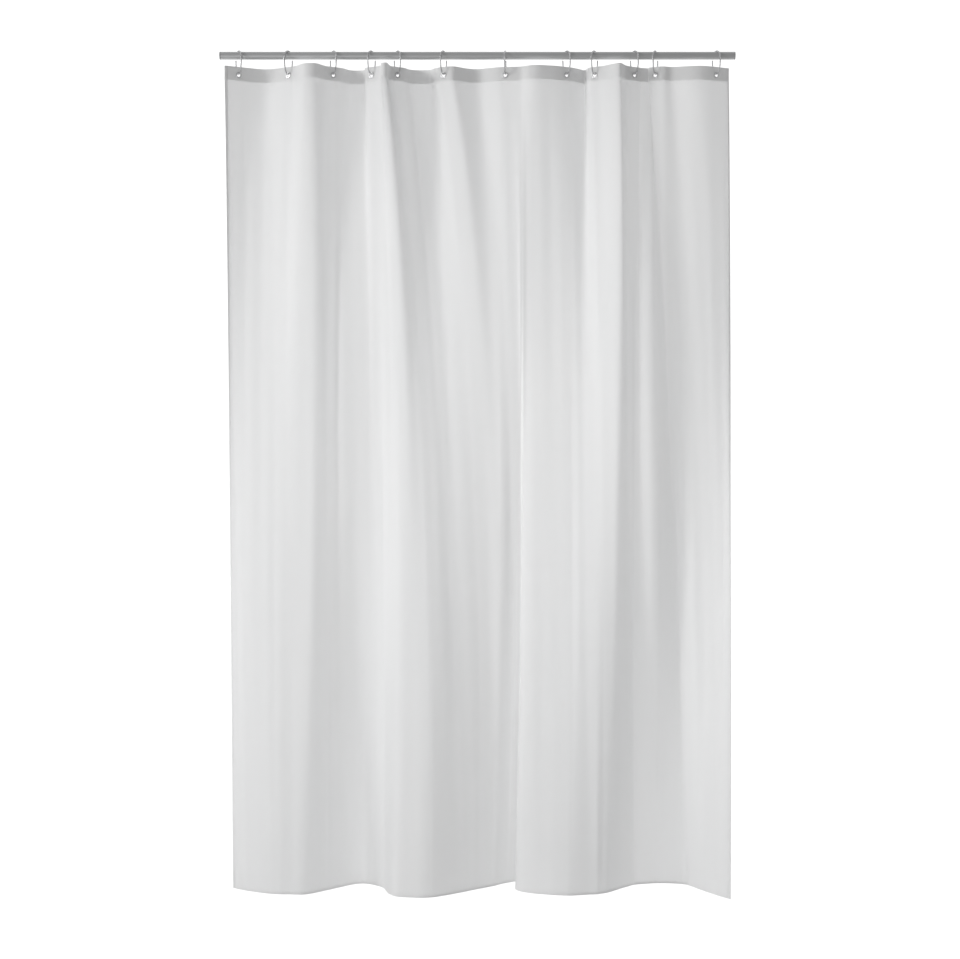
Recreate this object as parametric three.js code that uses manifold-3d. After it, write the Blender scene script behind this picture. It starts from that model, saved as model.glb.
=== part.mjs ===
// A shower curtain on its rod: a round tube with a plug in each end, twelve wire rings that hang on it,
// and a wide cloth with a doubled heading, held by a two-piece metal eyelet at each ring.
// Millimetres. The origin is the middle of the rod's left end face. X runs along the rod, -Y faces the
// room, +Z is up. The cloth is drawn right across the rod, and is divided into panels at the rings.
import * as THREE from 'three';
import { mergeVertices } from 'three/addons/utils/BufferGeometryUtils.js';
import Module from 'manifold-3d';

// ---- Driving dimensions ----
const ROD_LENGTH = 1253;
const ROD_RADIUS = 9.5;
const ROD_WALL = 0.8;
const PLUG_CAP = 3; // thickness of the plug's head, which is as wide as the rod
const PLUG_STUB = 14; // how far the plug reaches into the tube

const END_MARGIN = 46; // from each end of the rod to the nearest ring
const RING_SPREAD = [121, 109, 93, 63, 112, 150, 149, 68, 97, 51, 148]; // the gaps' proportions
const RING_TURNS = [28, -28, 28, -28, 28, -24, -6, 28, -28, 28, -24, 26]; // degrees off square to the rod

const WIRE_RADIUS = 1.6;
const RING_HALF_DEPTH = 17.5; // from the ring's middle to its front and back wires
const RING_HEIGHT = 56.5; // between the middles of the wire at the top and the bottom
const RING_SPLIT = 0.6; // between the wire's two ends, which face each other behind the cloth
const RING_FULLNESS = 2.5; // the lower half's superellipse power: 2 is an ellipse, more is squarer

const EYELET_BORE = 4.2; // radius
const EYELET_WALL = 0.8;
const EYELET_FLANGE = 7.8; // radius
const EYELET_DOME = 1.3; // how far the front flange stands off the cloth
const WASHER_THICKNESS = 0.7;

const CLOTH_DROP = 2000; // from the heading's top edge to the hem
const CLOTH_THICKNESS = 0.5; // one layer
const HEADING_DEPTH = 33; // the doubled band at the top
const HEM_DEPTH = 6; // the narrow doubled band at the bottom
const EYELET_INSET = 20; // from the top edge to the eyelet's middle
const EDGE_MARGIN = 36; // from an end eyelet to the cloth's side edge, measured on the cloth

const REST = 0.3; // left between pieces that rest on each other
const GAP = 0.3; // left between pieces that are fixed together

// The folds' lines from heading to hem, left to right. A line starts at the heading, at a place counted
// in rings (2.5 is midway from ring 2 to ring 3) and a distance out towards the room. It ends at the hem
// at a share of the span between the end rings, and again a distance out. Each ring has a line.
const FOLD_LINES = [
  [1, 0, 0.009, -10],
  [1.5, -42, 0.037, 10],
  [2, 0, 0.07, 34],
  [2.45, 46, 0.115, 52],
  [3, 0, 0.19, -8],
  [3.4, -45, 0.257, -73],
  [4, 0, 0.295, -32],
  [4.5, 48, 0.347, 86],
  [5, 0, 0.404, 86],
  [5.25, -32, 0.505, -15],
  [5.55, -45, 0.578, -112],
  [6, 0, 0.589, -70],
  [6.14, 9, 0.6, -14],
  [6.4, -20, 0.612, 18],
  [7, 0, 0.637, 38],
  [7.5, 24, 0.668, 53],
  [8, 0, 0.694, 55],
  [8.5, -48, 0.711, 56],
  [9, 0, 0.726, 55],
  [9.55, 46, 0.746, 46],
  [10, 0, 0.789, -15],
  [10.5, -46, 0.871, -87],
  [11, 0, 0.914, -78],
  [11.5, 24, 0.957, -20],
  [12, 0, 1, 72],
];
const HEM_LEFT_EDGE = [-0.01, -20]; // a share of the span, and a distance out
const HEM_RIGHT_EDGE = [1.025, 108];

// ---- How finely round and soft shapes are cut into facets ----
const ROD_SIDES = 32;
const WIRE_SIDES = 8;
const WIRE_STEPS = 26;
const EYELET_SIDES = 14;
const SECTION_STEPS = 900; // along the whole cloth, to find where each panel starts
const PANEL_COLUMNS = 7; // between the flats at a panel's two eyelets
const PANEL_ROWS = 6; // between the heading and the hem

// ---- What follows from them ----
const RING_COUNT = RING_SPREAD.length + 1;
const SPREAD_TOTAL = RING_SPREAD.reduce((sum, gap) => sum + gap, 0);
const RING_SPAN = ROD_LENGTH - 2 * END_MARGIN;
const RING_X = [END_MARGIN];
for (const gap of RING_SPREAD) {
  RING_X.push(RING_X[RING_X.length - 1] + (gap * RING_SPAN) / SPREAD_TOTAL);
}

const RING_TOP = ROD_RADIUS + REST + WIRE_RADIUS; // the wire's middle where it lies on the rod
const RING_BOTTOM = RING_TOP - RING_HEIGHT;
const EYELET_Z = RING_BOTTOM - (EYELET_BORE - WIRE_RADIUS - REST); // the eyelet hangs on the wire
const CLOTH_TOP = EYELET_Z + EYELET_INSET;
const CLOTH_BOTTOM = CLOTH_TOP - CLOTH_DROP;
const HEADING_BOTTOM = CLOTH_TOP - HEADING_DEPTH;
const FLAT_REACH = EYELET_FLANGE + 2; // the cloth is flat this far to each side of an eyelet
const HEADING_THICKNESS = 2 * CLOTH_THICKNESS;
const FLANGE_SEAT = HEADING_THICKNESS / 2 + GAP; // from the cloth's middle to an eyelet's inner face

const MATERIALS = {
  rod: new THREE.MeshStandardMaterial({ color: 0xb9bbbd, roughness: 0.5, metalness: 1 }),
  plug: new THREE.MeshStandardMaterial({ color: 0xc9cacb, roughness: 0.45, metalness: 0 }),
  ring: new THREE.MeshStandardMaterial({ color: 0xc4c6c8, roughness: 0.45, metalness: 1 }),
  eyelet: new THREE.MeshStandardMaterial({ color: 0xd4d5d6, roughness: 0.4, metalness: 1 }),
  cloth: new THREE.MeshStandardMaterial({ color: 0xe9e9e9, roughness: 0.85, metalness: 0 }),
};

const wasm = await Module();
wasm.setup();

const curtain = new THREE.Group();

function addMesh(name, geometry, material, parent = curtain) {
  const mesh = new THREE.Mesh(geometry, material);
  mesh.name = name;
  parent.add(mesh);
  return mesh;
}

const numbered = (name, k) => `${name}_${String(k + 1).padStart(2, '0')}`;

// ---- Closed shapes ----

// A closed profile turned about Y. Its points go anticlockwise, as radius and height.
function turned(profile, sides) {
  const points = profile.map(([radius, height]) => new THREE.Vector2(radius, height));
  const closed = profile[0][0] > 0;
  return new THREE.LatheGeometry(closed ? [...points, points[0]] : points, sides);
}

function solidOf(geometry) {
  const bare = geometry.clone();
  bare.deleteAttribute('normal');
  bare.deleteAttribute('uv');
  const merged = mergeVertices(bare, 1e-4);
  return new wasm.Manifold(
    new wasm.Mesh({
      numProp: 3,
      vertProperties: new Float32Array(merged.attributes.position.array),
      triVerts: new Uint32Array(merged.index.array),
    }),
  );
}

function geometryOf(solid) {
  const mesh = solid.getMesh();
  const geometry = new THREE.BufferGeometry();
  geometry.setAttribute('position', new THREE.BufferAttribute(mesh.vertProperties, 3));
  geometry.setIndex(new THREE.BufferAttribute(mesh.triVerts, 1));
  geometry.computeVertexNormals();
  return geometry;
}

// ---- Rod ----

function buildRod() {
  const inner = ROD_RADIUS - ROD_WALL;
  const from = PLUG_CAP + GAP;
  const to = ROD_LENGTH - from;
  const tube = turned(
    [
      [inner, -to],
      [ROD_RADIUS, -to],
      [ROD_RADIUS, -from],
      [inner, -from],
    ],
    ROD_SIDES,
  );
  addMesh('rod_tube', tube.rotateZ(Math.PI / 2), MATERIALS.rod);

  const stub = inner - GAP;
  const plug = turned(
    [
      [0, -PLUG_CAP - PLUG_STUB],
      [stub, -PLUG_CAP - PLUG_STUB],
      [stub, -PLUG_CAP],
      [ROD_RADIUS, -PLUG_CAP],
      [ROD_RADIUS, 0],
      [0, 0],
    ],
    ROD_SIDES,
  );
  addMesh('rod_end_plug_left', plug.clone().rotateZ(Math.PI / 2), MATERIALS.plug);
  const right = addMesh('rod_end_plug_right', plug.rotateZ(-Math.PI / 2), MATERIALS.plug);
  right.position.x = ROD_LENGTH;
}

// ---- Rings ----

// The wire's middle line: half a circle over the rod, and a long half superellipse down to the eyelet.
// It starts and ends at the split, at the back, level with the middle of the upper circle.
class RingLine extends THREE.Curve {
  getPoint(t, target = new THREE.Vector3()) {
    const split = RING_SPLIT / 2 / RING_HALF_DEPTH;
    const angle = split + t * (2 * Math.PI - 2 * split);
    const upper = angle < Math.PI;
    const middle = RING_TOP - RING_HALF_DEPTH;
    const reach = upper ? RING_HALF_DEPTH : middle - RING_BOTTOM;
    const swell = (share) => Math.sign(share) * Math.abs(share) ** (upper ? 1 : 2 / RING_FULLNESS);
    const y = RING_HALF_DEPTH * swell(Math.cos(angle));
    return target.set(0, y, middle + reach * swell(Math.sin(angle)));
  }
}

function ringGeometry() {
  const section = new THREE.Shape();
  for (let i = 0; i < WIRE_SIDES; i += 1) {
    const angle = (2 * Math.PI * i) / WIRE_SIDES;
    const x = WIRE_RADIUS * Math.cos(angle);
    const y = WIRE_RADIUS * Math.sin(angle);
    if (i === 0) section.moveTo(x, y);
    else section.lineTo(x, y);
  }
  section.closePath();
  return new THREE.ExtrudeGeometry(section, { extrudePath: new RingLine(), steps: WIRE_STEPS });
}

// ---- Eyelets ----

// The front half: a domed flange on the room side, and a barrel through the cloth and the washer.
function eyeletGeometry() {
  const barrel = EYELET_BORE + EYELET_WALL;
  const face = -FLANGE_SEAT;
  const tail = FLANGE_SEAT + WASHER_THICKNESS + GAP;
  return turned(
    [
      [EYELET_BORE, face - EYELET_DOME / 2],
      [(EYELET_BORE + EYELET_FLANGE) / 2, face - EYELET_DOME],
      [EYELET_FLANGE, face - EYELET_DOME / 3],
      [EYELET_FLANGE, face],
      [barrel, face],
      [barrel, tail],
      [EYELET_BORE, tail],
    ],
    EYELET_SIDES,
  );
}

function washerGeometry() {
  const inner = EYELET_BORE + EYELET_WALL + GAP;
  return turned(
    [
      [inner, FLANGE_SEAT],
      [EYELET_FLANGE, FLANGE_SEAT],
      [EYELET_FLANGE, FLANGE_SEAT + WASHER_THICKNESS],
      [inner, FLANGE_SEAT + WASHER_THICKNESS],
    ],
    EYELET_SIDES,
  );
}

function buildRingSets() {
  const ring = ringGeometry();
  const eyelet = eyeletGeometry();
  const washer = washerGeometry();
  for (let k = 0; k < RING_COUNT; k += 1) {
    const set = new THREE.Group();
    set.position.x = RING_X[k];
    set.rotation.z = THREE.MathUtils.degToRad(RING_TURNS[k]);
    addMesh(numbered('ring', k), ring, MATERIALS.ring, set);
    addMesh(numbered('eyelet', k), eyelet, MATERIALS.eyelet, set).position.z = EYELET_Z;
    addMesh(numbered('eyelet_washer', k), washer, MATERIALS.eyelet, set).position.z = EYELET_Z;
    curtain.add(set);
  }
}

// ---- Cloth ----

// A place counted in rings, as a distance along the rod.
function ringPlace(count) {
  const k = Math.min(Math.floor(count), RING_COUNT - 1);
  const next = RING_X[Math.min(k, RING_COUNT - 1)];
  return THREE.MathUtils.lerp(RING_X[k - 1], next, count - k);
}

function hemPoint(share, out) {
  return new THREE.Vector2(RING_X[0] + share * RING_SPAN, -out);
}

// The fold lines as pairs of points, [at the heading, at the hem]. A ring's line is three, in the middle
// and to each side of its eyelet, which keep the cloth flat there. The side edges come first and last.
function foldLines() {
  const lines = [];
  FOLD_LINES.forEach(([count, out, share, hemOut], i) => {
    const heading = new THREE.Vector2(ringPlace(count), -out);
    const hem = hemPoint(share, hemOut);
    if (!Number.isInteger(count)) {
      lines.push([heading, hem]);
      return;
    }
    const turn = THREE.MathUtils.degToRad(RING_TURNS[count - 1]);
    const along = new THREE.Vector2(Math.cos(turn), Math.sin(turn));
    const before = FOLD_LINES[Math.max(i - 1, 0)];
    const after = FOLD_LINES[Math.min(i + 1, FOLD_LINES.length - 1)];
    const slope = hemPoint(after[2], after[3]).sub(hemPoint(before[2], before[3])).normalize();
    const flat = [-FLAT_REACH, 0, FLAT_REACH].map((reach) => [
      heading.clone().addScaledVector(along, reach),
      hem.clone().addScaledVector(slope, reach / 2),
    ]);
    const edge = heading.clone().addScaledVector(along, count === 1 ? -EDGE_MARGIN : EDGE_MARGIN);
    if (count === 1) lines.push([edge, hemPoint(...HEM_LEFT_EDGE)]);
    lines.push(...flat);
    if (count === RING_COUNT) lines.push([edge, hemPoint(...HEM_RIGHT_EDGE)]);
  });
  return lines;
}

const LINES = foldLines();

// The cloth's course at one height, as evenly spaced points, each with the direction of its room side.
// It is the same all through the heading, and from there each fold line runs straight to the hem.
function section(z) {
  const share = THREE.MathUtils.clamp((HEADING_BOTTOM - z) / (HEADING_BOTTOM - CLOTH_BOTTOM), 0, 1);
  const points = LINES.map(([heading, hem]) => {
    const at = heading.clone().lerp(hem, share);
    return new THREE.Vector3(at.x, at.y, z);
  });
  const course = new THREE.CatmullRomCurve3(points, false, 'centripetal');
  const places = course.getSpacedPoints(SECTION_STEPS);
  return places.map((at, i) => {
    const before = places[Math.max(i - 1, 0)];
    const after = places[Math.min(i + 1, SECTION_STEPS)];
    const along = after.clone().sub(before).normalize();
    return { at, face: new THREE.Vector3(along.y, -along.x, 0) };
  });
}

// The point at a fractional place on a section.
function pointOn(course, place) {
  const i = Math.min(Math.floor(place), SECTION_STEPS - 1);
  const at = course[i].at.clone().lerp(course[i + 1].at, place - i);
  const face = course[i].face.clone().lerp(course[i + 1].face, place - i).normalize();
  return { at, face };
}

// Where a section crosses the plane at x.
function crossing(course, x) {
  const i = course.findIndex(({ at }) => at.x > x) - 1;
  return i + (x - course[i].at.x) / (course[i + 1].at.x - course[i].at.x);
}

function rowHeights() {
  const hemTop = CLOTH_BOTTOM + HEM_DEPTH;
  const step = (HEADING_BOTTOM - hemTop) / PANEL_ROWS;
  const rows = [{ z: CLOTH_TOP, layers: 2 }, { z: HEADING_BOTTOM, layers: 2 }];
  for (let i = 0; i <= PANEL_ROWS; i += 1) {
    const inset = i === 0 ? -GAP : 0;
    rows.push({ z: HEADING_BOTTOM - i * step + inset, layers: 1 });
  }
  rows.push({ z: hemTop - GAP, layers: 2 }, { z: CLOTH_BOTTOM, layers: 2 });
  return rows;
}

const COURSES = rowHeights().map((row) => ({ ...row, course: section(row.z) }));

// The columns of panel k as places on a section: from ring k to the next, with a flat at each eyelet,
// and out to the side edge past the first and the last ring.
function columnPlaces(course, k) {
  const flat = FLAT_REACH / course[0].at.distanceTo(course[1].at);
  const isLast = k === RING_COUNT - 1;
  const start = crossing(course, RING_X[k] + GAP / 2);
  const end = isLast ? SECTION_STEPS : crossing(course, RING_X[k + 1] - GAP / 2);
  const first = start + flat;
  const last = isLast ? end : end - flat;
  const places = k === 0 ? [0, start - flat] : [start];
  for (let c = 0; c <= PANEL_COLUMNS; c += 1) {
    places.push(first + ((last - first) * c) / PANEL_COLUMNS);
  }
  return isLast ? places : [...places, end];
}

// Panel k as a closed sheet.
function panelSolid(k) {
  const positions = [];
  const columns = columnPlaces(COURSES[0].course, k).length;
  for (const { course, layers } of COURSES) {
    const half = (layers * CLOTH_THICKNESS) / 2;
    for (const place of columnPlaces(course, k)) {
      const { at, face } = pointOn(course, place);
      positions.push(...at.clone().addScaledVector(face, half).toArray());
      positions.push(...at.clone().addScaledVector(face, -half).toArray());
    }
  }
  const rows = COURSES.length;
  const vertex = (row, column, side) => 2 * (row * columns + column) + side;
  const faces = [];
  const quad = (a, b, c, d) => faces.push(a, b, c, a, c, d);
  for (let r = 0; r < rows - 1; r += 1) {
    for (let c = 0; c < columns - 1; c += 1) {
      quad(vertex(r, c, 0), vertex(r + 1, c, 0), vertex(r + 1, c + 1, 0), vertex(r, c + 1, 0));
      quad(vertex(r, c, 1), vertex(r, c + 1, 1), vertex(r + 1, c + 1, 1), vertex(r + 1, c, 1));
    }
    quad(vertex(r, 0, 0), vertex(r, 0, 1), vertex(r + 1, 0, 1), vertex(r + 1, 0, 0));
    const last = columns - 1;
    quad(vertex(r, last, 0), vertex(r + 1, last, 0), vertex(r + 1, last, 1), vertex(r, last, 1));
  }
  for (let c = 0; c < columns - 1; c += 1) {
    const last = rows - 1;
    quad(vertex(0, c, 0), vertex(0, c + 1, 0), vertex(0, c + 1, 1), vertex(0, c, 1));
    quad(vertex(last, c, 0), vertex(last, c, 1), vertex(last, c + 1, 1), vertex(last, c + 1, 0));
  }
  const geometry = new THREE.BufferGeometry();
  geometry.setAttribute('position', new THREE.Float32BufferAttribute(positions, 3));
  geometry.setIndex(faces);
  return solidOf(geometry);
}

// The hole in the cloth for one eyelet's barrel.
function holeSolid(k) {
  const radius = EYELET_BORE + EYELET_WALL + GAP;
  const drill = new THREE.CylinderGeometry(radius, radius, 4 * EYELET_FLANGE, EYELET_SIDES);
  drill.rotateZ(THREE.MathUtils.degToRad(RING_TURNS[k]));
  drill.translate(RING_X[k], 0, EYELET_Z);
  return solidOf(drill);
}

function buildCloth() {
  const holes = RING_X.map((x, k) => holeSolid(k));
  for (let k = 0; k < RING_COUNT; k += 1) {
    const panel = holes.slice(k, k + 2).reduce((sheet, hole) => sheet.subtract(hole), panelSolid(k));
    addMesh(numbered('cloth_panel', k), geometryOf(panel), MATERIALS.cloth);
  }
}

buildRod();
buildRingSets();
buildCloth();

export default curtain;
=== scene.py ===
# A white shower curtain drawn across its rod: a steel tube, twelve wire rings, twelve pressed eyelets
# and one wide cloth with a doubled heading. Metres. X runs along the rod, -Y faces the room, +Z is up.
import math

import bpy
import numpy as np
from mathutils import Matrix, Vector


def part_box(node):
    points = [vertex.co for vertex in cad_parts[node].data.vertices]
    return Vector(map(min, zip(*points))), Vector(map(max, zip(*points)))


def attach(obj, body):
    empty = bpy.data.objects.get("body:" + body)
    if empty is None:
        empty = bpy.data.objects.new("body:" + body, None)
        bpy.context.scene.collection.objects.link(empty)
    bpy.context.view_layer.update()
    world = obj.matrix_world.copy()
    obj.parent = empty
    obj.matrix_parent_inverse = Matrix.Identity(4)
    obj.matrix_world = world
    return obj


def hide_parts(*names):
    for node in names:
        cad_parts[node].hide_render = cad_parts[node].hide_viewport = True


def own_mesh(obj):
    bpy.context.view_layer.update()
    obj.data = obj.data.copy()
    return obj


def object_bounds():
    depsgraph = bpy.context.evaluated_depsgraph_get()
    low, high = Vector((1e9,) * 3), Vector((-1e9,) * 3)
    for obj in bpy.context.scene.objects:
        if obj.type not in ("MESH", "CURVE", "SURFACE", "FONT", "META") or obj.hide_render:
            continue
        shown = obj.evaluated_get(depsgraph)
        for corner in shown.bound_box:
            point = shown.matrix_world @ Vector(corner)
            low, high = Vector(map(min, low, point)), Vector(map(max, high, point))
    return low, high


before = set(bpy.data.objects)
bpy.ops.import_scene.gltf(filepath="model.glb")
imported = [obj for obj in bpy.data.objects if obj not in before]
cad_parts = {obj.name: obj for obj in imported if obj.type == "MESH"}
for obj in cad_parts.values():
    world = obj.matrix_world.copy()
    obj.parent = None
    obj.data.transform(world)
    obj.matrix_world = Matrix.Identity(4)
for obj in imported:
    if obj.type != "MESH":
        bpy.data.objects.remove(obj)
cad_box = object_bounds()

MM = 0.001

# ---- Camera ----
CAMERA_DISTANCE = 4.77  # from the rod's line
CAMERA_LENS = 73.6  # millimetres
SENSOR_WIDTH = 36
CAMERA_ALONG = 0.505  # where it stands beside the rod, as a share of the rod's length
CAMERA_DROP = 1.03  # below the rod's line

# ---- Light and floor ----
ROOM_LIGHT = 0.3  # strength of the surroundings on the room side
BACK_LIGHT = 1.15  # and behind the curtain
ROOM_LIGHT_FROM = -0.3  # the one passes into the other between these parts of a direction's Y
BACK_LIGHT_FROM = 0.25
KEY_POWER = 1400  # watts
KEY_CONE = math.radians(24)
KEY_RADIUS = 1.2
KEY_AT = (-5.7, -3.1, 0.3)
KEY_TOWARDS = (0.63, 0, -0.75)
FILL_POWER = 17  # watts
FILL_SIZE = 1.2
FILL_AT = (-0.5, -2.6, -1.6)
FILL_TOWARDS = (0.6, 0, -1.5)
FLOOR_RADIUS = 0.74
FLOOR_BELOW_HEM = 0.35

# ---- Rod, rings and eyelets ----
ROD_WALL = 0.8 * MM
ROD_EDGE = 0.3 * MM  # rounding of the tube's rims
ROD_SIDES = 96
PLUG_CAP = 3 * MM  # thickness of the plug's head
PLUG_EDGE = 0.5 * MM
AXIS_RADIUS = 0.001 * MM  # where a turned solid closes on its axis
RING_COUNT = 12
RING_TURNS = np.radians([28, -28, 28, -28, 28, -24, -6, 28, -28, 28, -24, 26])  # off square to the rod
WIRE_RADIUS = 1.6 * MM
RING_SPLIT = 0.6 * MM  # between the wire's two ends
RING_FULLNESS = 2.5  # the lower half's superellipse power
EYELET_BORE = 4.2 * MM
EYELET_WALL = 0.8 * MM
EYELET_FLANGE = 7.8 * MM
EYELET_DOME = 1.3 * MM
FLANGE_SEAT = 0.8 * MM  # from the cloth's middle to the eyelet's inner face
WASHER_THICKNESS = 0.7 * MM
GAP = 0.3 * MM  # left between pieces that are fixed together

# ---- Cloth ----
CLOTH_THICKNESS = 0.5 * MM
THROUGH_SINGLE = 0.57  # the share of light that passes through single cloth
THROUGH_DOUBLED = 0.17
HEADING_DEPTH = 33 * MM
HEADING_EXTRA = 0.3 * MM  # how far the doubled heading stands off the single cloth, each side
BOTTOM_HEM = 5 * MM
SIDE_HEM = 6 * MM
EDGE_MARGIN = 36 * MM  # from an end eyelet to the cloth's side edge, measured on the cloth
FLAT_REACH = 9.8 * MM  # the cloth is flat this far to each side of an eyelet
RIGID_HALF = 8 * MM  # half the width of the strip that moves with a ring
HOLE_RADIUS = 5.8 * MM


def numbered(name, k):
    return f"{name}_{k + 1:02d}"


def middle(node):
    low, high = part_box(node)
    return (low + high) / 2


RING_X = np.array([middle(numbered("ring", k)).x for k in range(RING_COUNT)])
SPAN = RING_X[-1] - RING_X[0]
EYELET_Z = middle("eyelet_01").z
CLOTH_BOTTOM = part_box("cloth_panel_01")[0].z
CLOTH_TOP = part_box("cloth_panel_01")[1].z
HEADING_BOTTOM = CLOTH_TOP - HEADING_DEPTH

# The folds' lines from heading to hem, left to right. Each has a place at the heading, counted in rings
# (2.5 is midway from ring 2 to ring 3), and two more at mid height and at the hem, as shares of the span
# between the end rings. Each place is followed by its distance out towards the room, in millimetres.
FOLD_LINES = [
    (1, 0, -0.008, -30, 0.004, -4),
    (1.5, -27, 0.031, -20, 0.034, 22),
    (2, 0, 0.078, -8, 0.08, 48),
    (2.4, 43, 0.131, 6, 0.121, 54),
    (2.62, 45, 0.155, 8, 0.143, 53),
    (3, 0, 0.189, -3, 0.187, 2),
    (3.45, -40, 0.224, -12, 0.233, -60),
    (3.8, -33, 0.268, -15, 0.27, -70),
    (4, 0, 0.296, -9, 0.3, -28),
    (4.46, 50, 0.343, 16, 0.337, 79),
    (4.62, 50, 0.358, 18, 0.36, 88),
    (5, 0, 0.391, 13, 0.402, 88),
    (5.25, -30, 0.42, 5, 0.444, 54),
    (5.7, -33, 0.455, 2, 0.48, 14),
    (6, 0, 0.491, 1, 0.5, -8),
    (6.2, 4, 0.518, 1, 0.522, -32),
    (6.5, -25, 0.547, 1, 0.54, -54),
    (7, 0, 0.579, -3, 0.565, -86),
    (7.24, 4, 0.592, -5, 0.6, -114),
    (7.34, 15, 0.596, 3, 0.58, -26),
    (7.5, 24, 0.616, 10, 0.606, 34),
    (7.72, 18, 0.658, 17, 0.65, 57),
    (8, 0, 0.701, 24, 0.692, 66),
    (8.7, -36, 0.73, 33, 0.735, 54),
    (9, 0, 0.758, 47, 0.755, 46),
    (9.55, 46, 0.792, 59, 0.776, 24),
    (10, 0, 0.822, 36, 0.829, -56),
    (10.3, -10, 0.844, 36, 0.861, -74),
    (10.7, -16, 0.874, 33, 0.895, -79),
    (11, 0, 0.906, -3, 0.939, -65),
    (11.25, 0, 0.938, -8, 0.959, -24),
    (11.6, 12, 0.977, -4, 0.975, 16),
    (12, 0, 1.012, -1, 0.995, 62),
]
# The side edges' own places, at mid height and at the hem.
MID_LEFT_EDGE = (-0.023, -33)
HEM_LEFT_EDGE = (-0.014, -26)
MID_RIGHT_EDGE = (1.03, 1)
HEM_RIGHT_EDGE = (1.018, 108)

# Small waves across the cloth: amplitude in millimetres, crowding along the cloth, sway, lean by height,
# and where the wave starts.
RIPPLES = [
    (0.45, 71, 1.3, 0, 0.4),
    (0.35, 113, 0, -1.7, 2.0),
    (0.25, 167, 0, 2.9, 1.1),
]
SWAY_CROWDING = 2.1
RIPPLE_EASE = 0.25  # how far below the heading the small waves reach full size
HEADING_LETS_GO = 0.85  # under 1, the folds leave the heading's shape sooner than a plain parabola

# ---- How finely pieces are cut ----
CORNER_STEPS = 5  # points on a rounded corner
ROWS_BELOW = 110
FOLD_COLUMNS = 52
RING_COLUMNS = 18
HEM_ROWS = 3
WIRE_STEPS = 160  # along a ring's wire
WIRE_SIDES = 20
EYELET_SIDES = 64
SEARCH_STEPS = 6000
FINE_STEP = 1.1 * MM  # between rows of the heading round an eyelet
COARSE_STEP = 4 * MM  # and elsewhere in the heading
FOLD_STEP = 0.4 * MM  # over which the cloth steps from doubled to single
EDGE_SLACK = 0.1 * MM  # a row this near the doubled cloth's edge counts as doubled
SLOPE_STEP = 0.5 * MM  # between the points that give a slope


# ---- Mesh making ----

def mesh_object(name, points, faces):
    """An object whose mesh has these points and these faces, each a row of point numbers."""
    mesh = bpy.data.meshes.new(name)
    mesh.from_pydata(points.tolist(), [], faces.tolist() if isinstance(faces, np.ndarray) else faces)
    mesh.polygons.foreach_set("use_smooth", np.ones(len(mesh.polygons), bool))
    mesh.update()
    piece = bpy.data.objects.new(name, mesh)
    bpy.context.scene.collection.objects.link(piece)
    return piece


def grid_faces(rows, columns, wrap_rows, wrap_columns):
    """Quads of a grid numbered row by row, joined round from last to first where it wraps."""
    r = np.arange(rows if wrap_rows else rows - 1)[:, None]
    c = np.arange(columns if wrap_columns else columns - 1)[None, :]
    below, beside = (r + 1) % rows, (c + 1) % columns
    corners = [r * columns + c, r * columns + beside, below * columns + beside, below * columns + c]
    return np.stack(np.broadcast_arrays(*corners), axis=-1).reshape(-1, 4)


def turned_points(profile, sides):
    """A closed profile of (radius, height) turned about Y: point = (r cos a, height, r sin a)."""
    profile = np.asarray(profile)
    angle = np.linspace(0, 2 * math.pi, sides, endpoint=False)[:, None]
    radius, height = profile[None, :, 0], profile[None, :, 1]
    height = np.broadcast_to(height, (sides, len(profile)))
    return np.stack([radius * np.cos(angle), height, radius * np.sin(angle)], axis=-1).reshape(-1, 3)


def rounded(corners, radius):
    """A closed outline with each corner replaced by an arc's chord points, cut back by at most radius."""
    corners = np.asarray(corners, float)
    before, after = np.roll(corners, 1, axis=0), np.roll(corners, -1, axis=0)
    reach_before = np.linalg.norm(before - corners, axis=1, keepdims=True)
    reach_after = np.linalg.norm(after - corners, axis=1, keepdims=True)
    cut = np.minimum(radius, 0.45 * np.minimum(reach_before, reach_after))
    start = corners + (before - corners) / reach_before * cut
    end = corners + (after - corners) / reach_after * cut
    t = np.linspace(0, 1, CORNER_STEPS)[None, :, None]
    arcs = (1 - t) ** 2 * start[:, None] + 2 * t * (1 - t) * corners[:, None] + t**2 * end[:, None]
    return arcs.reshape(-1, 2)


def place(points, turn, x, z):
    """Points turned about Z and moved along the rod and up."""
    c, s = math.cos(turn), math.sin(turn)
    spin = np.array([[c, s, 0], [-s, c, 0], [0, 0, 1]])
    return points @ spin + np.array([x, 0, z])


# ---- Materials ----

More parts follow.
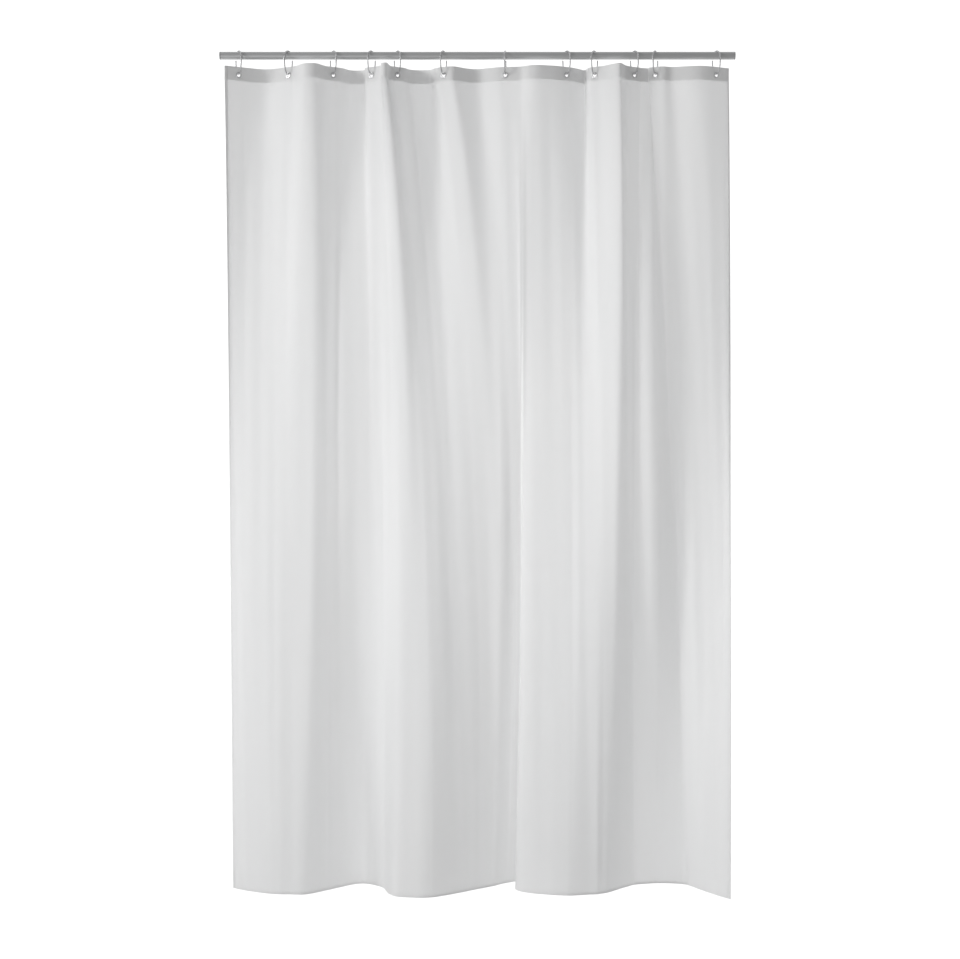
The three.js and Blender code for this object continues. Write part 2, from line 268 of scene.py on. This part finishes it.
class Finish:
    """A node material with one Principled shader, and short ways to add and join nodes."""

    def __init__(self, name):
        self.material = bpy.data.materials.new(name)
        self.material.use_nodes = True
        self.tree = self.material.node_tree
        self.shader = self.tree.nodes["Principled BSDF"]
        self.output = self.tree.nodes["Material Output"]

    def add(self, kind, **values):
        node = self.tree.nodes.new(kind)
        for name, value in values.items():
            if hasattr(node, name):
                setattr(node, name, value)
            else:
                node.inputs[name.replace("_", " ")].default_value = value
        return node

    def join(self, source, target):
        self.tree.links.new(source, target)

    def set(self, **values):
        for name, value in values.items():
            self.shader.inputs[name.replace("_", " ")].default_value = value

    def coordinates(self, kind, scale, turn=(0, 0, 0)):
        """Object or UV coordinates, stretched by scale."""
        source = self.add("ShaderNodeTexCoord")
        mapping = self.add("ShaderNodeMapping")
        mapping.inputs["Scale"].default_value = scale
        mapping.inputs["Rotation"].default_value = turn
        self.join(source.outputs[kind], mapping.inputs["Vector"])
        return mapping.outputs["Vector"]

    def noise(self, vector, scale, detail=2.0):
        node = self.add("ShaderNodeTexNoise", Scale=scale, Detail=detail)
        self.join(vector, node.inputs["Vector"])
        return node.outputs["Fac"]

    def range(self, value, low, high, start=0.0, end=1.0):
        node = self.add("ShaderNodeMapRange")
        node.inputs["From Min"].default_value = start
        node.inputs["From Max"].default_value = end
        node.inputs["To Min"].default_value = low
        node.inputs["To Max"].default_value = high
        self.join(value, node.inputs["Value"])
        return node.outputs["Result"]

    def two_tone(self, value, dark, light):
        node = self.add("ShaderNodeMix", data_type="RGBA")
        colours = [socket for socket in node.inputs if socket.type == "RGBA"]
        colours[0].default_value = (*dark, 1)
        colours[1].default_value = (*light, 1)
        self.join(value, node.inputs["Factor"])
        return [socket for socket in node.outputs if socket.type == "RGBA"][0]

    def sum(self, a, b):
        node = self.add("ShaderNodeMath", operation="ADD")
        self.join(a, node.inputs[0])
        self.join(b, node.inputs[1])
        return node.outputs["Value"]

    def bump(self, height, strength, distance):
        node = self.add("ShaderNodeBump", Strength=strength, Distance=distance)
        self.join(height, node.inputs["Height"])
        self.join(node.outputs["Normal"], self.shader.inputs["Normal"])
        return node.outputs["Normal"]


def brushed_steel(name, dark, light, along, roughness, metallic):
    """Satin steel: fine lines along the piece vary its colour, roughness and surface."""
    finish = Finish(name)
    finish.set(Metallic=metallic)
    lines = finish.noise(finish.coordinates("Object", along), 40.0, 3.0)
    finish.join(finish.two_tone(lines, dark, light), finish.shader.inputs["Base Color"])
    finish.join(finish.range(lines, *roughness), finish.shader.inputs["Roughness"])
    finish.bump(lines, 0.12, 0.0002)
    return finish.material


def bright_wire(name):
    """Plated wire, bright with faint haze and tiny dents."""
    finish = Finish(name)
    finish.set(Metallic=1.0)
    haze = finish.noise(finish.coordinates("Object", (1, 1, 1)), 260.0, 3.0)
    tone = finish.two_tone(haze, (0.5, 0.5, 0.51), (0.62, 0.62, 0.63))
    finish.join(tone, finish.shader.inputs["Base Color"])
    finish.join(finish.range(haze, 0.42, 0.54), finish.shader.inputs["Roughness"])
    finish.bump(haze, 0.08, 0.0002)
    return finish.material


def plug_plastic(name):
    """Moulded grey plastic with a fine spark-eroded grain."""
    finish = Finish(name)
    grain = finish.noise(finish.coordinates("Object", (1, 1, 1)), 900.0, 4.0)
    tone = finish.two_tone(grain, (0.40, 0.405, 0.41), (0.50, 0.505, 0.51))
    finish.join(tone, finish.shader.inputs["Base Color"])
    finish.join(finish.range(grain, 0.42, 0.6), finish.shader.inputs["Roughness"])
    finish.bump(grain, 0.25, 0.0002)
    return finish.material


def curtain_cloth(name):
    """White polyester weave. Light passes through it, and less of it where the cloth is doubled."""
    finish = Finish(name)
    finish.set(Roughness=0.8)
    finish.shader.inputs["Sheen Weight"].default_value = 0.12
    finish.shader.inputs["Sheen Roughness"].default_value = 0.5
    finish.shader.inputs["Specular IOR Level"].default_value = 0.3
    cloud = finish.noise(finish.coordinates("Object", (1, 1, 0.35)), 5.0, 3.0)
    tone = finish.two_tone(cloud, (0.915, 0.918, 0.92), (0.945, 0.945, 0.945))
    finish.join(tone, finish.shader.inputs["Base Color"])
    threads = []
    for direction in ("X", "Y"):
        wave = finish.add("ShaderNodeTexWave", bands_direction=direction, Scale=700.0)
        finish.join(finish.coordinates("UV", (1, 1, 1)), wave.inputs["Vector"])
        threads.append(wave.outputs["Fac"])
    weave = finish.sum(*threads)
    crease = finish.range(finish.noise(finish.coordinates("Object", (1, 1, 0.12)), 28.0, 2.0), 0.0, 6.0)
    normal = finish.bump(finish.sum(weave, crease), 0.25, 0.0003)
    through = finish.add("ShaderNodeBsdfTranslucent")
    finish.join(tone, through.inputs["Color"])
    finish.join(normal, through.inputs["Normal"])
    layers = finish.add("ShaderNodeAttribute", attribute_name="layers")
    share = finish.range(layers.outputs["Fac"], THROUGH_SINGLE, THROUGH_DOUBLED, 1.0, 2.0)
    both = finish.add("ShaderNodeMixShader")
    finish.join(share, both.inputs["Fac"])
    finish.join(finish.shader.outputs["BSDF"], both.inputs[1])
    finish.join(through.outputs["BSDF"], both.inputs[2])
    finish.join(both.outputs["Shader"], finish.output.inputs["Surface"])
    return finish.material


ROD_STEEL = brushed_steel(
    "satin_rod_steel", (0.47, 0.475, 0.48), (0.56, 0.565, 0.57), (0.05, 3, 3), (0.44, 0.56), 0.45
)
EYELET_STEEL = brushed_steel(
    "pressed_eyelet_steel", (0.68, 0.685, 0.69), (0.8, 0.805, 0.81), (3, 3, 3), (0.36, 0.5), 0.9
)
RING_WIRE = bright_wire("plated_ring_wire")
PLUG_PLASTIC = plug_plastic("grey_plug_plastic")
CLOTH = curtain_cloth("white_curtain_weave")


def settle(piece, body, slot, material, *nodes):
    """The piece takes its material, rides on its body and stands for its CAD nodes."""
    piece.data.materials.append(material)
    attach(piece, body)
    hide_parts(*nodes)
    return piece


# ---- Rod ----

def along_rod(points, start, direction):
    """Points turned about Y laid along the rod: height runs from start in the given direction."""
    return np.stack([start + direction * points[:, 1], points[:, 0] * direction, points[:, 2]], axis=-1)


def make_rod():
    """The tube is a rounded wall turned about the rod's axis, and each plug a rounded head and stub."""
    low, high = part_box("rod_tube")
    radius = (high.z - low.z) / 2
    bore = radius - ROD_WALL
    wall = rounded([(radius, low.x), (radius, high.x), (bore, high.x), (bore, low.x)], ROD_EDGE)
    faces = grid_faces(ROD_SIDES, len(wall), True, True)
    tube = mesh_object("rod_tube_surface", along_rod(turned_points(wall, ROD_SIDES), 0, 1), faces)
    settle(tube, "rod", "rod", ROD_STEEL, "rod_tube")
    for node, end, direction in (("rod_end_plug_left", 0, 1), ("rod_end_plug_right", 1, -1)):
        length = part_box(node)[1].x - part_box(node)[0].x
        stub = bore - GAP
        outline = [(radius, 0), (radius, PLUG_CAP), (stub, PLUG_CAP), (stub, length)]
        head, tail = (AXIS_RADIUS, 0), (AXIS_RADIUS, length)
        softened = rounded([head, *outline, tail], PLUG_EDGE)[CORNER_STEPS:-CORNER_STEPS]
        profile = np.vstack([head, softened, tail])
        points = along_rod(turned_points(profile, ROD_SIDES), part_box(node)[end].x, direction)
        plug = mesh_object(node + "_surface", points, grid_faces(ROD_SIDES, len(profile), True, True))
        settle(plug, "rod", "rod_plug", PLUG_PLASTIC, node)


# ---- Rings and eyelets ----

def ring_points():
    """A wire carried round the ring's line: half a circle over the rod, then a long half superellipse.

    The line lies in the plane of Y and Z. It starts and ends at the split at the back, and the wire
    narrows to a rounded tip at each end.
    """
    low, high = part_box("ring_07")
    top, bottom = high.z - WIRE_RADIUS, low.z + WIRE_RADIUS
    half = (high.y - low.y) / 2 / math.cos(RING_TURNS[6]) - WIRE_RADIUS
    centre = top - half
    split = RING_SPLIT / 2 / half
    angle = np.linspace(split, 2 * math.pi - split, WIRE_STEPS)
    power = np.where(angle < math.pi, 1.0, 2 / RING_FULLNESS)
    reach = np.where(angle < math.pi, half, centre - bottom)
    y = half * np.sign(np.cos(angle)) * np.abs(np.cos(angle)) ** power
    z = centre + reach * np.sign(np.sin(angle)) * np.abs(np.sin(angle)) ** power
    line = np.stack([y, z], axis=-1)
    along = np.gradient(line, axis=0)
    along /= np.linalg.norm(along, axis=1, keepdims=True)
    out = np.stack([along[:, 1], -along[:, 0]], axis=-1)
    run = np.concatenate([[0], np.cumsum(np.linalg.norm(np.diff(line, axis=0), axis=1))])
    to_end = np.minimum(run, run[-1] - run) / (0.5 * WIRE_RADIUS)
    radius = WIRE_RADIUS * np.sqrt(np.clip(1 - (1 - np.minimum(to_end, 1)) ** 2, 1e-6, 1))
    around = np.linspace(0, 2 * math.pi, WIRE_SIDES, endpoint=False)
    side = radius[:, None] * np.cos(around)
    lift = radius[:, None] * np.sin(around)
    points = np.stack([side, line[:, :1] + lift * out[:, :1], line[:, 1:] + lift * out[:, 1:]], axis=-1)
    return points.reshape(-1, 3), (len(angle), len(around))


def make_rings():
    """Twelve wire rings, each turned a little off square to the rod."""
    points, (steps, sides) = ring_points()
    ends = [list(range(sides))[::-1], list(range((steps - 1) * sides, steps * sides))]
    faces = grid_faces(steps, sides, False, True).tolist() + ends
    for k in range(RING_COUNT):
        node = numbered("ring", k)
        ring = mesh_object(node + "_wire", place(points, RING_TURNS[k], RING_X[k], 0), faces)
        settle(ring, numbered("ring_set", k), "ring", RING_WIRE, node)


def eyelet_profile():
    """A domed flange that rolls into a barrel, whose tail curls back over the washer."""
    barrel = EYELET_BORE + EYELET_WALL
    face, tail = -FLANGE_SEAT, FLANGE_SEAT + WASHER_THICKNESS + GAP
    crown = (EYELET_BORE + EYELET_FLANGE) / 2
    corners = [
        (EYELET_BORE, tail),
        (EYELET_BORE, face - 0.5 * EYELET_DOME),
        (crown - 0.9 * MM, face - EYELET_DOME),
        (crown + 0.6 * MM, face - EYELET_DOME),
        (EYELET_FLANGE, face - 0.45 * EYELET_DOME),
        (EYELET_FLANGE, face),
        (barrel, face),
        (barrel, tail - 0.15 * MM),
    ]
    return rounded(corners, 0.7 * MM)


def washer_profile():
    """A flat ring with rounded edges, round the barrel and behind the cloth."""
    inner = EYELET_BORE + EYELET_WALL + GAP
    front, back = FLANGE_SEAT, FLANGE_SEAT + WASHER_THICKNESS
    return rounded([(inner, back), (inner, front), (EYELET_FLANGE, front), (EYELET_FLANGE, back)], 0.25 * MM)


def make_eyelets():
    """An eyelet and its washer at each ring, turned as the ring is."""
    for stem, profile in (("eyelet", eyelet_profile()), ("eyelet_washer", washer_profile())):
        points = turned_points(profile, EYELET_SIDES)
        faces = grid_faces(EYELET_SIDES, len(profile), True, True)
        for k in range(RING_COUNT):
            node = numbered(stem, k)
            piece = mesh_object(node + "_steel", place(points, RING_TURNS[k], RING_X[k], EYELET_Z), faces)
            settle(piece, numbered("ring_set", k), "eyelet", EYELET_STEEL, node)


# ---- The cloth's surface ----

def ring_place(count):
    """A place counted in rings, as a distance along the rod."""
    k = min(int(count), RING_COUNT - 1)
    return RING_X[k - 1] + (RING_X[k] - RING_X[k - 1]) * (count - k)


def span_point(share, out):
    return np.array([RING_X[0] + share * SPAN, -out * MM])


def fold_lines():
    """The fold lines as points at the heading, at mid height and at the hem, side edges first and last.

    A ring's line is three, at its eyelet and to each side, in line with the ring's turn, which keeps the
    cloth flat under the eyelet. Lower down the three draw together along the local slope.
    """
    lines = []
    for i, (count, out, mid, mid_out, hem, hem_out) in enumerate(FOLD_LINES):
        here = [np.array([ring_place(count), -out * MM]), span_point(mid, mid_out), span_point(hem, hem_out)]
        if count != int(count):
            lines.append(here)
            continue
        turn = RING_TURNS[count - 1]
        along = np.array([math.cos(turn), math.sin(turn)])
        before, after = FOLD_LINES[max(i - 1, 0)], FOLD_LINES[min(i + 1, len(FOLD_LINES) - 1)]
        slopes = [span_point(*after[j:j + 2]) - span_point(*before[j:j + 2]) for j in (2, 4)]
        mid_slope, hem_slope = (slope / np.linalg.norm(slope) for slope in slopes)
        flats = [
            [here[0] + reach * along, here[1] + reach / 2 * mid_slope, here[2] + reach / 2 * hem_slope]
            for reach in (-FLAT_REACH, 0, FLAT_REACH)
        ]
        if count == 1:
            edge = here[0] - EDGE_MARGIN * along
            lines.append([edge, span_point(*MID_LEFT_EDGE), span_point(*HEM_LEFT_EDGE)])
        lines.extend(flats)
        if count == RING_COUNT:
            edge = here[0] + EDGE_MARGIN * along
            lines.append([edge, span_point(*MID_RIGHT_EDGE), span_point(*HEM_RIGHT_EDGE)])
    return np.array(lines)


LINES = fold_lines()
STEPS_APART = np.linalg.norm(np.diff(LINES, axis=0), axis=2).mean(axis=1)
KNOTS = np.concatenate([[0], np.cumsum(STEPS_APART)])


def second_slopes(knots):
    """The matrix that turns a natural cubic spline's points into its second slopes at the knots."""
    n, h = len(knots), np.diff(knots)
    left, right = np.eye(n), np.zeros((n, n))
    i = np.arange(1, n - 1)
    left[i, i - 1], left[i, i], left[i, i + 1] = h[:-1] / 6, (h[:-1] + h[1:]) / 3, h[1:] / 6
    right[i, i - 1], right[i, i], right[i, i + 1] = 1 / h[:-1], -1 / h[:-1] - 1 / h[1:], 1 / h[1:]
    return np.linalg.solve(left, right)


BEND = second_slopes(KNOTS)


def row_controls(z):
    """The spline's points at each height: a parabola through heading, mid height and hem."""
    drop = np.clip((HEADING_BOTTOM - z) / (HEADING_BOTTOM - CLOTH_BOTTOM), 0, 1) ** HEADING_LETS_GO
    drop = drop[:, None, None]
    heading, mid, hem = LINES[None, :, 0], LINES[None, :, 1], LINES[None, :, 2]
    return heading * (1 - drop) * (1 - 2 * drop) + mid * 4 * drop * (1 - drop) + hem * drop * (2 * drop - 1)


def plan(z, s):
    """The cloth's course in plan at heights z (rows) and places s on the cloth (rows by columns)."""
    points = row_controls(z)
    bends = np.einsum("ij,rjk->rik", BEND, points)
    i = np.clip(np.searchsorted(KNOTS, s) - 1, 0, len(KNOTS) - 2)
    rows = np.arange(len(z))[:, None]
    h = (KNOTS[i + 1] - KNOTS[i])[..., None]
    b = ((s - KNOTS[i])[..., None]) / h
    a = 1 - b
    cubic = ((a**3 - a) * bends[rows, i] + (b**3 - b) * bends[rows, i + 1]) * h**2 / 6
    return a * points[rows, i] + b * points[rows, i + 1] + cubic


def ripple(z, s):
    """Small waves in the cloth, none in the heading.

    Each is amplitude * sin(s * crowding + sway * sin(height * SWAY_CROWDING) + lean * height + start).
    """
    below = np.clip((HEADING_BOTTOM - z) / RIPPLE_EASE, 0, 1)[:, None]
    ease = below * below * (3 - 2 * below)
    height = z[:, None]
    waves = 0
    for amplitude, crowding, sway, lean, start in RIPPLES:
        along = s * crowding + sway * np.sin(height * SWAY_CROWDING) + lean * height + start
        waves = waves + amplitude * np.sin(along)
    return ease * waves * MM


def surface(z, s):
    """Points of the cloth's middle at heights z (rows) and places s (rows by columns)."""
    course = plan(z, s)
    y = course[..., 1] + ripple(z, s)
    return np.stack([course[..., 0], y, np.broadcast_to(z[:, None], s.shape)], axis=-1)


def surface_normals(z, s):
    """Directions off the room side of the cloth, from its slopes across and down."""
    across = surface(z, s + SLOPE_STEP) - surface(z, s - SLOPE_STEP)
    down = surface(z - SLOPE_STEP, s) - surface(z + SLOPE_STEP, s)
    normal = np.cross(down, across)
    return normal / np.linalg.norm(normal, axis=-1, keepdims=True)


def crossings(z, x):
    """Where each row of the cloth first passes the plane at x, as a place on the cloth."""
    s = np.linspace(0, KNOTS[-1], SEARCH_STEPS)
    course = plan(z, np.broadcast_to(s, (len(z), SEARCH_STEPS)))[..., 0]
    after = (np.maximum.accumulate(course, axis=1) < x).sum(axis=1)
    rows = np.arange(len(z))
    x0, x1 = course[rows, after - 1], course[rows, after]
    return s[after - 1] + (x - x0) / (x1 - x0) * (s[after] - s[after - 1])


# ---- The cloth's pieces ----

def row_heights(fine_heading):
    """Heights of the rows: fine through the heading, paired where a fold of cloth ends, then even."""
    step = FINE_STEP if fine_heading else COARSE_STEP
    heading = np.linspace(CLOTH_TOP, HEADING_BOTTOM, int(HEADING_DEPTH / step) + 1)
    hem_top = CLOTH_BOTTOM + BOTTOM_HEM
    body = np.linspace(HEADING_BOTTOM - FOLD_STEP, hem_top + FOLD_STEP, ROWS_BELOW)
    hem = np.linspace(hem_top, CLOTH_BOTTOM, HEM_ROWS)
    return np.concatenate([heading, body, hem])


def cloth_layers(z, s):
    """2 where the cloth is doubled, in the heading and the hems, and 1 elsewhere."""
    doubled = (z >= HEADING_BOTTOM - EDGE_SLACK) | (z <= CLOTH_BOTTOM + BOTTOM_HEM + EDGE_SLACK)
    sides = (s < SIDE_HEM) | (s > KNOTS[-1] - SIDE_HEM)
    return np.where(doubled[:, None] | sides, 2.0, 1.0)


def sheet_object(name, z, s, kept=None):
    """A closed thin sheet: the surface moved out to each side by half its thickness, rims joined.

    kept says which quads of the grid are there. Corner normals come from the whole cloth's slopes, so
    that neighbouring pieces shade as one.
    """
    points, normals = surface(z, s), surface_normals(z, s)
    layers = cloth_layers(z, s)
    half = CLOTH_THICKNESS / 2 + HEADING_EXTRA * (layers - 1)
    rows, columns = s.shape
    count = rows * columns
    quads = grid_faces(rows, columns, False, False)[:, ::-1]
    if kept is not None:
        quads = quads[kept.ravel()]
    sides = np.stack([quads, np.roll(quads, -1, axis=1)], axis=-1).reshape(-1, 2)
    codes, opposite = sides[:, 0] * count + sides[:, 1], sides[:, 1] * count + sides[:, 0]
    rim = sides[~np.isin(codes, opposite)]
    front = quads
    back = quads[:, ::-1] + count
    rims = np.stack([rim[:, 1], rim[:, 0], rim[:, 0] + count, rim[:, 1] + count], axis=-1)
    both = np.concatenate([points + normals * half[..., None], points - normals * half[..., None]])
    both = both.reshape(-1, 3)
    directions = np.concatenate([normals.reshape(-1, 3), -normals.reshape(-1, 3)])
    faces = np.concatenate([front, back, rims])
    used, faces_used = np.unique(faces, return_inverse=True)
    faces_used = faces_used.reshape(faces.shape)
    corners = directions[faces]
    edge_a, edge_b = both[rims[:, 1]] - both[rims[:, 0]], both[rims[:, 2]] - both[rims[:, 1]]
    flat = np.cross(edge_a, edge_b)
    flat /= np.maximum(np.linalg.norm(flat, axis=1, keepdims=True), 1e-12)
    corners[len(front) + len(back):] = flat[:, None, :]
    piece = mesh_object(name, both[used], faces_used)
    mesh = piece.data
    uv = np.stack([s, np.broadcast_to(z[:, None] - CLOTH_BOTTOM, s.shape)], axis=-1).reshape(-1, 2)
    uv = np.concatenate([uv, uv])[faces]
    mesh.uv_layers.new(name="cloth").data.foreach_set("uv", uv.astype(np.float32).ravel())
    amounts = np.concatenate([layers.ravel(), layers.ravel()])[used]
    mesh.attributes.new("layers", "FLOAT", "POINT").data.foreach_set("value", amounts.astype(np.float32))
    mesh.normals_split_custom_set(corners.reshape(-1, 3).tolist())
    return piece


def between(z, left, right, columns):
    """Places spread evenly from left to right in each row."""
    t = np.linspace(0, 1, columns)[None, :]
    return left[:, None] * (1 - t) + right[:, None] * t


def width_of(z, s):
    """How wide a piece of the cloth is when it lies flat: the mean length of its rows."""
    points = surface(z, s)
    return float(np.linalg.norm(np.diff(points, axis=1), axis=2).sum(axis=1).mean())


def hem_columns(s, at_start):
    """The places of a side piece with two columns moved to the side hem's inner edge."""
    rows = s.copy()
    line = SIDE_HEM if at_start else KNOTS[-1] - SIDE_HEM
    for column, offset in ((0, -FOLD_STEP / 2), (1, FOLD_STEP / 2)):
        nearest = np.abs(rows - line).mean(axis=0).argsort()[:2]
        rows[:, sorted(nearest)[column]] = line + offset
    return rows


def make_cloth_at_ring(k):
    """The narrow strip of cloth that moves with ring k, with its eyelet's hole.

    The strips at the end rings reach the cloth's edge.
    """
    z = row_heights(True)
    first = np.zeros(len(z)) if k == 0 else crossings(z, RING_X[k] - RIGID_HALF)
    last = np.full(len(z), KNOTS[-1]) if k == RING_COUNT - 1 else crossings(z, RING_X[k] + RIGID_HALF)
    columns = RING_COLUMNS if 0 < k < RING_COUNT - 1 else FOLD_COLUMNS
    s = between(z, first, last, columns)
    if k in (0, RING_COUNT - 1):
        s = hem_columns(s, k == 0)
    points = surface(z, s)
    along = np.array([math.cos(RING_TURNS[k]), math.sin(RING_TURNS[k])])
    beside = (points[..., :2] - np.array([RING_X[k], 0])) @ along
    away = np.hypot(beside, points[..., 2] - EYELET_Z)
    centres = (away[:-1, :-1] + away[1:, :-1] + away[:-1, 1:] + away[1:, 1:]) / 4
    piece = sheet_object(numbered("cloth_at_ring", k), z, s, centres > HOLE_RADIUS)
    settle(piece, numbered("ring_set", k), "cloth", CLOTH, numbered("cloth_panel", k))
    width_of(z, s)
    return piece


def make_cloth_fold(k):
    """The cloth between ring k and the next."""
    z = row_heights(False)
    first, last = crossings(z, RING_X[k] + RIGID_HALF), crossings(z, RING_X[k + 1] - RIGID_HALF)
    s = between(z, first, last, FOLD_COLUMNS)
    name, joint = numbered("cloth_fold", k), numbered("draw", k)
    piece = sheet_object(name, z, s)
    settle(piece, numbered("ring_set", k), "cloth", CLOTH, numbered("cloth_panel", k))
    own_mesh(piece)
    width_of(z, s)
    return piece


# ---- Room: floor, light and camera ----

def make_floor():
    """A pale round floor below the hem: a flat disc."""
    angle = np.linspace(0, 2 * math.pi, ROD_SIDES, endpoint=False)
    height = np.full(ROD_SIDES, CLOTH_BOTTOM - FLOOR_BELOW_HEM)
    across = middle("rod_tube").x + FLOOR_RADIUS * np.cos(angle)
    points = np.stack([across, FLOOR_RADIUS * np.sin(angle), height], axis=-1)
    floor = mesh_object("floor", points, [list(range(ROD_SIDES))])
    finish = Finish("pale_floor")
    finish.set(Roughness=0.9, Base_Color=(0.8, 0.8, 0.8, 1))
    floor.data.materials.append(finish.material)


def make_surroundings():
    """Even light from all round: white behind the curtain and dim on the room side, white where seen."""
    world = bpy.data.worlds.new("studio")
    bpy.context.scene.world = world
    world.use_nodes = True
    tree = world.node_tree
    place_of = tree.nodes.new("ShaderNodeTexCoord")
    split = tree.nodes.new("ShaderNodeSeparateXYZ")
    tree.links.new(place_of.outputs["Generated"], split.inputs["Vector"])
    behind = tree.nodes.new("ShaderNodeMapRange")
    behind.interpolation_type = "SMOOTHSTEP"
    behind.inputs["From Min"].default_value = ROOM_LIGHT_FROM
    behind.inputs["From Max"].default_value = BACK_LIGHT_FROM
    behind.inputs["To Min"].default_value = ROOM_LIGHT
    behind.inputs["To Max"].default_value = BACK_LIGHT
    tree.links.new(split.outputs["Y"], behind.inputs["Value"])
    seen = tree.nodes.new("ShaderNodeLightPath")
    strength = tree.nodes.new("ShaderNodeMath")
    strength.operation = "MAXIMUM"
    tree.links.new(behind.outputs["Result"], strength.inputs[0])
    tree.links.new(seen.outputs["Is Camera Ray"], strength.inputs[1])
    background = tree.nodes["Background"]
    background.inputs["Color"].default_value = (1, 1, 1, 1)
    tree.links.new(strength.outputs["Value"], background.inputs["Strength"])


def aim(lamp, at, towards):
    """Puts the lamp in the scene, looking from one point towards another."""
    holder = bpy.data.objects.new(lamp.name, lamp)
    holder.location = at
    holder.rotation_euler = (Vector(towards) - Vector(at)).to_track_quat("-Z", "Y").to_euler()
    bpy.context.scene.collection.objects.link(holder)


def make_lights():
    """A soft light far off to the left rakes across the folds, and a weak one faces the curtain."""
    make_surroundings()
    key = bpy.data.lights.new("key_light", "SPOT")
    key.energy = KEY_POWER
    key.spot_size = KEY_CONE
    key.spot_blend = 1.0
    key.shadow_soft_size = KEY_RADIUS
    aim(key, KEY_AT, KEY_TOWARDS)
    fill = bpy.data.lights.new("fill_light", "AREA")
    fill.shape = "SQUARE"
    fill.size = FILL_SIZE
    fill.energy = FILL_POWER
    aim(fill, FILL_AT, FILL_TOWARDS)


def make_camera():
    """A level camera in front of the curtain, at about half its height."""
    low, high = cad_box
    lens = bpy.data.cameras.new("camera")
    lens.lens = CAMERA_LENS
    lens.sensor_width = SENSOR_WIDTH
    camera = bpy.data.objects.new("camera", lens)
    camera.location = (low.x + CAMERA_ALONG * (high.x - low.x), -CAMERA_DISTANCE, -CAMERA_DROP)
    camera.rotation_euler = (math.pi / 2, 0, 0)
    bpy.context.scene.collection.objects.link(camera)
    bpy.context.scene.camera = camera


make_camera()
make_rod()
make_rings()
make_eyelets()
for k in range(RING_COUNT):
    make_cloth_at_ring(k)
for k in range(RING_COUNT - 1):
    make_cloth_fold(k)
make_floor()
make_lights()
bpy.context.scene.view_settings.view_transform = "Standard"
